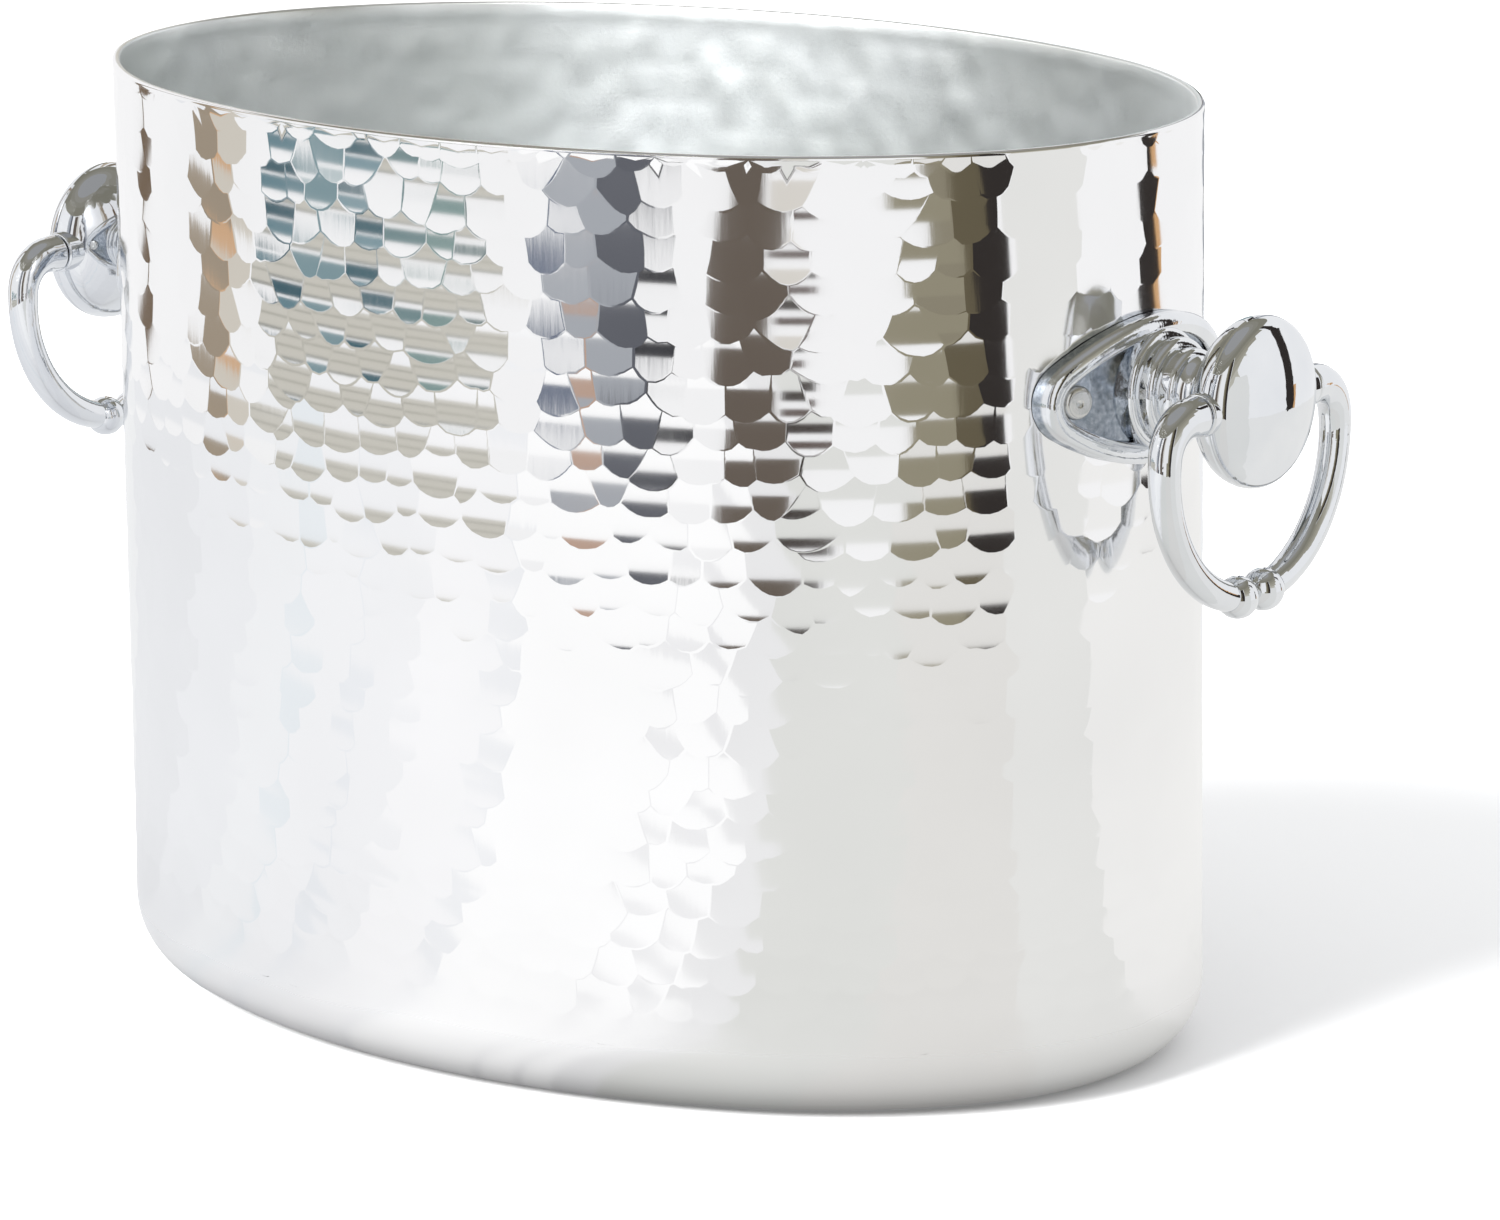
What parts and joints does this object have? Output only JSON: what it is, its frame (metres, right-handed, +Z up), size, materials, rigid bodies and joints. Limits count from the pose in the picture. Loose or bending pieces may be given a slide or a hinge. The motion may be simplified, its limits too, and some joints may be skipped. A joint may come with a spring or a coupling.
{
  "type": "champagne bucket",
  "caption": "Oval hammered aluminium champagne bucket, open at the top, with a swinging ring handle at each end.",
  "frame": {"origin": "centre of the oval on the surface that the bucket stands on", "axes": "+Z up, +X along the oval's long axis through both handles, +Y across it"},
  "size_m": [0.4166, 0.2248, 0.254],
  "materials": {
    "hammered_aluminium": "hammered and polished outside, satin inside",
    "chrome": "bright chrome plate on cast zinc",
    "rivet_aluminium": "satin",
    "steel": "turned"
  },
  "bodies": {
    "bucket": {"bucket_shell": "hammered_aluminium", "right_backplate": "chrome", "right_collar": "chrome", "right_knob": "chrome", "right_knob_screw": "steel", "right_front_rivet": "rivet_aluminium", "right_back_rivet": "rivet_aluminium", "left_backplate": "chrome", "left_collar": "chrome", "left_knob": "chrome", "left_knob_screw": "steel", "left_front_rivet": "rivet_aluminium", "left_back_rivet": "rivet_aluminium"},
    "right_ring": {"right_pivot_pin": "steel", "right_front_half_ring": "chrome", "right_back_half_ring": "chrome"},
    "left_ring": {"left_pivot_pin": "steel", "left_front_half_ring": "chrome", "left_back_half_ring": "chrome"}
  },
  "joints": [
    {"name": "right_ring_swing", "type": "hinge", "parent": "bucket", "child": "right_ring", "pos_m": [0.1973, 0, 0.188], "axis": [0, -1, 0], "range_deg": [-29, 209]},
    {"name": "left_ring_swing", "type": "hinge", "parent": "bucket", "child": "left_ring", "pos_m": [-0.1973, 0, 0.188], "axis": [0, 1, 0], "range_deg": [-29, 209]}
  ]
}
